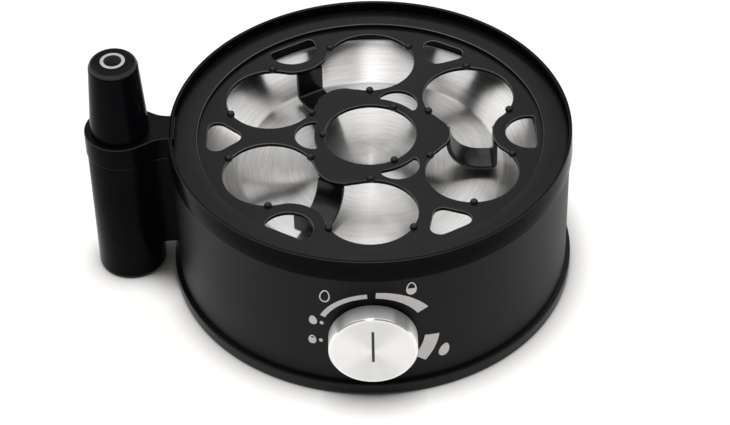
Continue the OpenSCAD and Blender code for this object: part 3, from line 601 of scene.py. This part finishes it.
def make_collar():
    top = high("collar", 2)
    seam = high("housing", 2)
    outer = high("collar", 0)
    body = high("housing", 0)
    lip_out = outer - LIP_LEAN
    lip_in = lip_out - LIP_T
    wall_in = body - WALL
    seam_in = body - SEAM_DEPTH
    shelf = high("tray_rim", 2) - SHELF_DROP
    shelf_under = shelf - SHELF_T
    profile = round_corners(
        [(outer, seam + SEAM_GAP), (lip_out, top), (lip_in, top), (lip_in, shelf),
         (SHELF_IN_R, shelf), (SHELF_IN_R, shelf_under), (wall_in, shelf_under), (wall_in, seam),
         (seam_in, seam), (seam_in, seam + SEAM_GAP)],
        [0.4, 0.55, 0.45, 0.3, 0.3, 0.3, 0.3, 0.2, 0, 0], CORNER_STEPS)
    fit(revolve("collar_ring", profile, RING_SIDES), "root", "collar")


def make_base_ring():
    under, top = low("base_ring", 2), high("base_ring", 2)
    outer = high("base_ring", 0)
    body = high("housing", 0)
    face = top - FOOT_STEP
    inner = body - FOOT_WALL
    step_in = body - SEAM_DEPTH
    profile = round_corners(
        [(outer, under), (outer, face), (step_in, face), (step_in, top), (inner, top),
         (inner, under + FOOT_T), (body, under + FOOT_T), (body, under)],
        [0.4, 0.6, 0.2, 0.1, 0.1, 0, 0, 0], CORNER_STEPS)
    fit(revolve("foot_ring", profile, RING_SIDES), "root", "base_ring")


BRIDGE_HALF = 8.0
WEB_HALF = 7.99
BRIDGE_FILLET = 7.0
BRIDGE_SINK = 2.2
BRIDGE_STEP = 0.25
BRIDGE_SPACING = 0.7
WEB_LOW = 16.5
WEB_SET_IN = 0.4
CAP_GAP = 0.05
CAP_EDGE = 0.6
WEB_EDGE = 0.4
COLUMN_SIDES = 128


def bridge_loop(post_x, post_r, drum_r, half):
    """Outline of the post and its bridge, which run together; the bridge ends inside the drum."""
    margin = 3
    xs = np.arange(post_x - post_r - margin, -drum_r + 2 * margin, BRIDGE_STEP)
    ys = np.arange(-post_r - margin, post_r + margin, BRIDGE_STEP)
    x, y = np.meshgrid(xs, ys, indexing="ij")
    post = circle_field(x, y, post_x, 0, post_r)
    bridge = box_field(x, y, post_x, -drum_r + BRIDGE_SINK, -half, half)
    field = union_round(post, bridge, BRIDGE_FILLET)
    loops = trace(field, 0.0, BRIDGE_STEP)
    moved = [(px + xs[0], py + ys[0]) for px, py in max(loops, key=len)]
    return [tuple(point) for point in thin_out(moved, BRIDGE_SPACING)]


def make_column():
    top, seam = high("column_cap", 2), high("column", 2)
    foot = low("column", 2)
    post_x = (low("pivot_post", 0) + high("pivot_post", 0)) / 2
    column_r = high("column", 1)
    cap_r = high("column_cap", 1)
    body = high("housing", 0)
    cap_loop = bridge_loop(post_x, cap_r, body, BRIDGE_HALF)
    cap = rounded_sheet("bridge_cap", [cap_loop], seam + CAP_GAP, top, CAP_EDGE)
    fit(cap, "root", "column_cap")
    web_loop = bridge_loop(post_x, column_r - WEB_SET_IN, body, WEB_HALF)
    web = rounded_sheet("column_web", [web_loop], WEB_LOW, seam, WEB_EDGE)
    column_in = column_r - WALL
    profile = round_corners(
        [(column_r, foot), (column_r, seam), (column_in, seam), (column_in, foot)],
        [0.6, 0.3, 0.2, 0.3], CORNER_STEPS)
    at_post = Matrix.Translation((post_x, 0, 0))
    shell = revolve("column_shell", profile, COLUMN_SIDES, place=at_post)
    fit(join("column_body", [shell, web]), "root", "column")


make_collar()
make_base_ring()
make_column()


# ---------------------------------------------------------------- egg tray

HOLE_R = 20.6
HOLE_RING_R = 51.7
LOBE_REACH = 35.9
LOBE_R = 13.4
ARM_R = 17.0
RIM_OPEN_R = 11.1
RIM_OPEN_PLACE = 71.8
RIM_OPEN_FLAT = 74.4
FLANGE_IN_R = 77.6
FLANGE_T = 1.8
PLATE_T = 2.4
PLATE_LAP = 0.9
TRAY_EDGE = 0.7
OUTLINE_STEP = 0.4
OUTLINE_REACH = 82.0
OUTLINE_SPACING = 0.9
NECK = (30.9, 57, 9.5)
NECK_ROUND = 1.0
PAIR_ROUND = 1.6
RIM_OPEN_ROUND = 2.0
TRIANGLE = [(62.4, 0), (68.8, -5.4), (68.8, 5.4)]
TRIANGLE_ROUND = 4.4
CRESCENT_PLACE = 24.4
CRESCENT_R = 9.4
CRESCENT_WEB = 4.6
CRESCENT_ROUND = 1.5
SKIRT_GAP = 0.2
SKIRT_OUT = 1.9
SKIRT_DROP = 3
ROOT = 0.3
STRAP_T = 1.9
STRAP_W = 13.0
STRAP_SWEEP_R = 15.2
STRAP_CORNER = 2.2
STRAP_GAP = 0.2
STRAP_EDGE = 0.5
STRAP_LEAN = 0.02
SWEEP_STEPS = 18
BEND_STEPS = 6
NUB_R = 1.8
NUB_SET = 0.5
NUB_SINK = 0.1
THIRDS = (0, 120, 240)


def rotated(x, y, degrees):
    c, s = math.cos(math.radians(degrees)), math.sin(math.radians(degrees))
    return x * c + y * s, y * c - x * s


def tray_field(x, y):
    """Below zero inside the tray's openings."""
    field = circle_field(x, y, 0, 0, HOLE_R)
    hx = HOLE_RING_R * math.cos(math.radians(30))
    hy = HOLE_RING_R / 2
    start, stop, half = NECK
    for turn in THIRDS:
        u, v = rotated(x, y, turn)
        pair = box_field(u, v, start, stop, -half, half)
        for place, radius in ((LOBE_REACH - LOBE_R, LOBE_R), (RIM_OPEN_PLACE, ARM_R)):
            pair = cut_round(pair, -circle_field(u, v, place, 0, radius), NECK_ROUND)
        for side in (-1, 1):
            pair = union_round(pair, circle_field(u, v, hx, side * hy, HOLE_R), PAIR_ROUND)
        rim = circle_field(u, v, RIM_OPEN_PLACE, 0, RIM_OPEN_R)
        rim = cut_round(rim, u - RIM_OPEN_FLAT, RIM_OPEN_ROUND)
        p, q = rotated(u, v, 60)
        triangle = triangle_field(p, q, TRIANGLE) - TRIANGLE_ROUND
        crescent = circle_field(p, q, CRESCENT_PLACE, 0, CRESCENT_R)
        crescent = cut_round(crescent, -(np.hypot(p, q) - HOLE_R - CRESCENT_WEB), CRESCENT_ROUND)
        for part in (pair, rim, triangle, crescent):
            field = np.minimum(field, part)
    return field


def ring_loop(radius, count=360):
    angles = [TAU * i / count for i in range(count)]
    return [(radius * math.cos(a), radius * math.sin(a)) for a in angles]


def saddle(name, turn, top, bottom):
    """Strap that drops from the hub in a round sweep, runs level and climbs straight to the arm."""
    half_t = STRAP_T / 2
    half_w = STRAP_W / 2
    radius = STRAP_SWEEP_R - half_t
    start = LOBE_REACH - half_t
    corner = STRAP_CORNER
    end = RIM_OPEN_PLACE - ARM_R + STRAP_GAP + half_t
    floor = bottom + half_t
    path = []
    for i in range(SWEEP_STEPS + 1):
        a = math.radians(180 + 90 * i / SWEEP_STEPS)
        point = (start + radius + radius * math.cos(a), floor + radius + radius * math.sin(a))
        if point[1] < top:
            path.append(point)
    path.insert(0, (path[0][0] - STRAP_LEAN, top))
    for i in range(BEND_STEPS + 1):
        a = math.radians(270 + 90 * i / BEND_STEPS)
        path.append((end - corner + corner * math.cos(a), floor + corner + corner * math.sin(a)))
    path.append((end, top))
    section = round_corners(
        [(-half_w, -half_t), (half_w, -half_t), (half_w, half_t), (-half_w, half_t)],
        [STRAP_EDGE] * 4, steps=3)
    verts = []
    faces = []
    spin = Matrix.Rotation(math.radians(turn), 3, "Z")
    for k, (r, z) in enumerate(path):
        before = Vector(path[max(k - 1, 0)])
        after = Vector(path[min(k + 1, len(path) - 1)])
        along = (after - before).normalized()
        normal = Vector((-along.y, along.x))
        for across, out in section:
            verts.append(spin @ Vector((r + normal.x * out, across, z + normal.y * out)))
    count = len(section)
    for k in range(len(path) - 1):
        for i in range(count):
            j = (i + 1) % count
            one, two = k * count, (k + 1) * count
            faces.append([one + i, one + j, two + j, two + i])
    faces.append(list(range(count)))
    faces.append([(len(path) - 1) * count + i for i in range(count)])
    return mesh_object(name, verts, faces, smooth_angle=40)


def ball(name, centre, radius):
    bm = bmesh.new()
    bmesh.ops.create_uvsphere(bm, u_segments=24, v_segments=14, radius=radius * MM)
    bmesh.ops.translate(bm, verts=bm.verts, vec=Vector(centre) * MM)
    mesh = bpy.data.meshes.new(name)
    bm.to_mesh(mesh)
    bm.free()
    for poly in mesh.polygons:
        poly.use_smooth = True
    return link(bpy.data.objects.new(name, mesh))


def make_tray():
    flange_z = high("tray_rim", 2)
    tray_r = high("tray_rim", 0)
    plate_low = low("egg_tray", 2)
    plate_z = plate_low + PLATE_T
    axis = np.arange(-OUTLINE_REACH, OUTLINE_REACH + OUTLINE_STEP, OUTLINE_STEP)
    x, y = np.meshgrid(axis, axis, indexing="ij")
    traced = trace(tray_field(x, y), -OUTLINE_REACH, OUTLINE_STEP)
    openings = [thin_out(loop, OUTLINE_SPACING) for loop in traced]
    edge = ring_loop(FLANGE_IN_R + PLATE_LAP)
    plate = rounded_sheet("tray_plate", [edge] + openings, plate_low, plate_z, TRAY_EDGE)
    wall_out = FLANGE_IN_R + FLANGE_T
    flange_low = flange_z - FLANGE_T
    rim = revolve("tray_flange", round_corners(
        [(FLANGE_IN_R, flange_z), (FLANGE_IN_R, plate_low), (wall_out, plate_low),
         (wall_out, flange_low), (tray_r, flange_low), (tray_r, flange_z)],
        [0.7, 0, 0.4, 0.2, 0.3, 0.6]))
    skirt_in, skirt_out = RIM_OPEN_FLAT + SKIRT_GAP, RIM_OPEN_FLAT + SKIRT_OUT
    root_z = plate_low + ROOT
    skirt_low = plate_low - SKIRT_DROP
    skirt = revolve("skirt", round_corners(
        [(skirt_in, root_z), (skirt_in, skirt_low), (skirt_out, skirt_low), (skirt_out, root_z)],
        [0, 0.4, 0.4, 0]))
    strap_low = low("tray_saddles", 2)
    straps = [saddle(f"saddle_{turn}", turn, root_z, strap_low) for turn in THIRDS]
    centres = [(0, 0, 0)]
    for turn in range(30, 360, 60):
        a = math.radians(turn)
        centres.append((HOLE_RING_R * math.cos(a), HOLE_RING_R * math.sin(a), turn))
    reach = HOLE_R + NUB_SET
    balls = []
    for cx, cy, turn in centres:
        for third in THIRDS:
            t = math.radians(turn + 60 + third)
            place = (cx + reach * math.cos(t), cy + reach * math.sin(t), plate_z - NUB_SINK)
            balls.append(ball("nub", place, NUB_R))
    nubs = join("tray_nubs", balls)
    straps = join("tray_straps", straps)
    tray = join("tray_body", [plate, rim, skirt])
    dress(nubs, "strap_black")
    dress(straps, "strap_black")
    dress(tray, "tray_black")
    for obj in (tray, nubs, straps):
        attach(obj, "tray")
    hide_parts("egg_tray", "tray_rim", "tray_skirt")
    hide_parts("tray_saddles")


make_tray()


# ---------------------------------------------------------------- heating dish


DISH_T = 0.8
DISH_WALL_R = 77.4
DISH_FLOOR_R = 60.0
DISH_RISE = 11.9
DISH_CROWN = 0.4
DISH_CROWN_R = 30
DISH_CROWN_EDGE = 0.25
TURNED_SIDES = 256


def make_dish():
    top = high("heating_dish", 2)
    under = low("heating_dish", 2)
    outer = high("heating_dish", 0)
    sheet, wall, floor_r, rise = DISH_T, DISH_WALL_R, DISH_FLOOR_R, DISH_RISE
    floor = under + sheet
    slope = math.atan2(rise, wall - floor_r)
    inside = [(0, floor + DISH_CROWN), (DISH_CROWN_R, floor + DISH_CROWN_EDGE), (floor_r, floor),
              (wall, floor + rise), (wall, top), (outer, top)]
    inside = round_corners(inside, [0, 60, 3.5, 5.0, 1.2, 0], steps=8, closed=False)
    below = [(outer, top - sheet), (wall + sheet, top - sheet),
             (wall + sheet, floor + rise - sheet * math.tan(math.pi / 4 - slope / 2)),
             (floor_r + sheet * math.tan(slope / 2), under), (0, under)]
    below = round_corners(below, [0, 0.4, 5.8, 2.7, 0], steps=8, closed=False)
    dish = revolve("dish", inside + below, TURNED_SIDES, smooth_angle=50)
    fit(dish, "root", "heating_dish")


make_dish()


# ---------------------------------------------------------------- knob


KNOB_CROWN = 0.5
KNOB_BEVEL = 0.6
KNOB_WALL = 1.0
FACE_T = 1.0
CROWN_STEPS = 16


def knob_place():
    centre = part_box("knob_cap")
    z = (centre[0].z + centre[1].z) / 2 / MM
    return Matrix.Translation((0, 0, z)) @ Matrix.Rotation(math.radians(90), 4, "X")


def make_knob():
    face = -low("knob_cap", 1)
    back = -high("knob_cap", 1)
    radius = high("knob_cap", 0)
    inner_r = radius - KNOB_WALL
    edge = face - KNOB_CROWN
    shoulder = edge - KNOB_BEVEL
    flat_r = radius - KNOB_BEVEL
    shares = [1 - i / CROWN_STEPS for i in range(CROWN_STEPS + 1)]
    top = [(flat_r * share, edge + KNOB_CROWN * (1 - share ** 2)) for share in shares]
    side = round_corners([(inner_r, back), (radius, back), (radius, shoulder), (flat_r, edge)],
                         [0, 0.3, 0.5, 0], CORNER_STEPS, closed=False)[:-1]
    inner = [(0, edge - FACE_T), (inner_r, shoulder - FACE_T)]
    cap = revolve("knob_shell", side + top + inner, TURNED_SIDES, smooth_angle=30,
                  place=knob_place())
    fit(cap, "knob", "knob_cap")


make_knob()


# ---------------------------------------------------------------- floor, lights, camera


FLOOR_SIZE = 12
FLOOR_DROP = 0.0002
FLOOR_PATCHES = 3.0
FLOOR_GLOW = 0.92
SHADOW_REACH = 0.023
SHADOW_RANGE = (0.4, 0.84)
SHADOW_CURVE = 0.8


def make_floor():
    """White paper: the camera and the metal see it white, and it keeps the object's shadow."""
    bpy.ops.mesh.primitive_plane_add(size=FLOOR_SIZE, location=(0, 0, -FLOOR_DROP))
    floor = bpy.context.active_object
    floor.name = "floor"
    n = Nodes("floor_paper")
    n.tree.nodes.remove(n.shader)
    patches = n.noise(n.coords(), FLOOR_PATCHES)
    paper = n.new("BsdfDiffuse")
    n.wire(n.blend_colours(patches, (0.74, 0.74, 0.735), (0.77, 0.77, 0.765)), paper.inputs[0])
    seen = n.new("BsdfDiffuse")
    n.wire(n.blend_colours(patches, (0.20, 0.195, 0.185), (0.21, 0.205, 0.195)), seen.inputs[0])
    near = n.new("AmbientOcclusion", samples=24)
    n.put(near, Distance=SHADOW_REACH)
    open_sky = n.spread(near.outputs["AO"], 0.0, 1.0, *SHADOW_RANGE)
    glow = n.new("Emission")
    n.put(glow, Color=(1, 0.99, 0.975, 1))
    strength = n.maths("MULTIPLY", n.maths("POWER", open_sky, SHADOW_CURVE), FLOOR_GLOW)
    n.wire(strength, glow.inputs["Strength"])
    white = n.new("AddShader")
    n.wire(seen.outputs[0], white.inputs[0])
    n.wire(glow.outputs[0], white.inputs[1])
    path = n.new("LightPath")
    shown = n.maths("MAXIMUM", path.outputs["Is Camera Ray"], path.outputs["Is Glossy Ray"])
    shown = n.maths("MAXIMUM", shown, path.outputs["Is Transmission Ray"])
    mix = n.new("MixShader")
    n.wire(shown, mix.inputs[0])
    n.wire(paper.outputs[0], mix.inputs[1])
    n.wire(white.outputs[0], mix.inputs[2])
    n.wire(mix.outputs[0], n.output.inputs[0])
    floor.data.materials.append(n.material)


# Name, place, what it points at, size and brightness
LIGHTS = [
    ("top_right", (0.93, 0.45, 1.5), (0.93, 0.45, 0), (1.5, 2.1), 0.95),
    ("top_left", (-0.83, 0.25, 1.5), (-0.83, 0.25, 0), (1.5, 2.5), 0.8),
    ("top_strip", (0.01, 0.25, 1.5), (0.01, 0.25, 0), (0.16, 2.5), 1.6),
    ("back", (0, 2.3, 1.55), (0, 0, 0.07), (0.5, 0.6), 0.95),
    ("left_panel", (-1.5, 0.5, 1.1), (0, 0, 0.05), (0.9, 0.9), 1.0),
    ("edge_left", (-0.9, 1.1, 1.2), (0, 0, 0.07), (0.22, 0.22), 4.0),
    ("edge_right", (1.3, 0.9, 1.0), (0, 0, 0.07), (0.22, 0.22), 5.0),
    ("front_top", (-0.2, -1.2, 1.5), (0, 0, 0.05), (0.4, 0.4), 2.4),
]
SKY_COLOUR = (1.0, 0.985, 0.965, 1)
SKY_LEVEL = 0.34


def area(name, place, aim, size, radiance):
    """Soft panel, given by its brightness rather than by its power."""
    data = bpy.data.lights.new(name, "AREA")
    data.shape = "RECTANGLE"
    data.size, data.size_y = size
    data.energy = radiance * math.pi * size[0] * size[1]
    obj = link(bpy.data.objects.new(name, data))
    obj.location = place
    obj.rotation_euler = (Vector(aim) - Vector(place)).to_track_quat("-Z", "Y").to_euler()


def make_lights():
    for row in LIGHTS:
        area(*row)
    world = bpy.data.worlds.new("studio")
    bpy.context.scene.world = world
    world.use_nodes = True
    sky = world.node_tree.nodes["Background"]
    sky.inputs[0].default_value = SKY_COLOUR
    sky.inputs[1].default_value = SKY_LEVEL


def make_camera():
    data = bpy.data.cameras.new("camera")
    data.sensor_fit = "HORIZONTAL"
    data.sensor_width = SENSOR
    data.lens = FOCAL_PX / IMAGE_W * SENSOR
    data.shift_x = (IMAGE_W / 2 - CENTRE_PX[0]) / IMAGE_W
    data.shift_y = (CENTRE_PX[1] - IMAGE_H / 2) / IMAGE_W
    data.clip_start = 0.05
    data.clip_end = 50
    camera = link(bpy.data.objects.new("camera", data))
    right = Vector((math.cos(AZIMUTH), math.sin(AZIMUTH), 0))
    ahead = Vector((-right.y, right.x, 0))
    back = Vector((0, 0, math.sin(ELEVATION))) - ahead * math.cos(ELEVATION)
    up = back.cross(right)
    leaned_right = right * math.cos(ROLL) - up * math.sin(ROLL)
    leaned_up = right * math.sin(ROLL) + up * math.cos(ROLL)
    turn = Matrix((leaned_right, leaned_up, back)).transposed().to_4x4()
    camera.matrix_world = Matrix.Translation(TARGET + back * DISTANCE) @ turn
    bpy.context.scene.camera = camera


make_floor()
make_lights()
make_camera()
bpy.context.scene.view_settings.view_transform = "Standard"
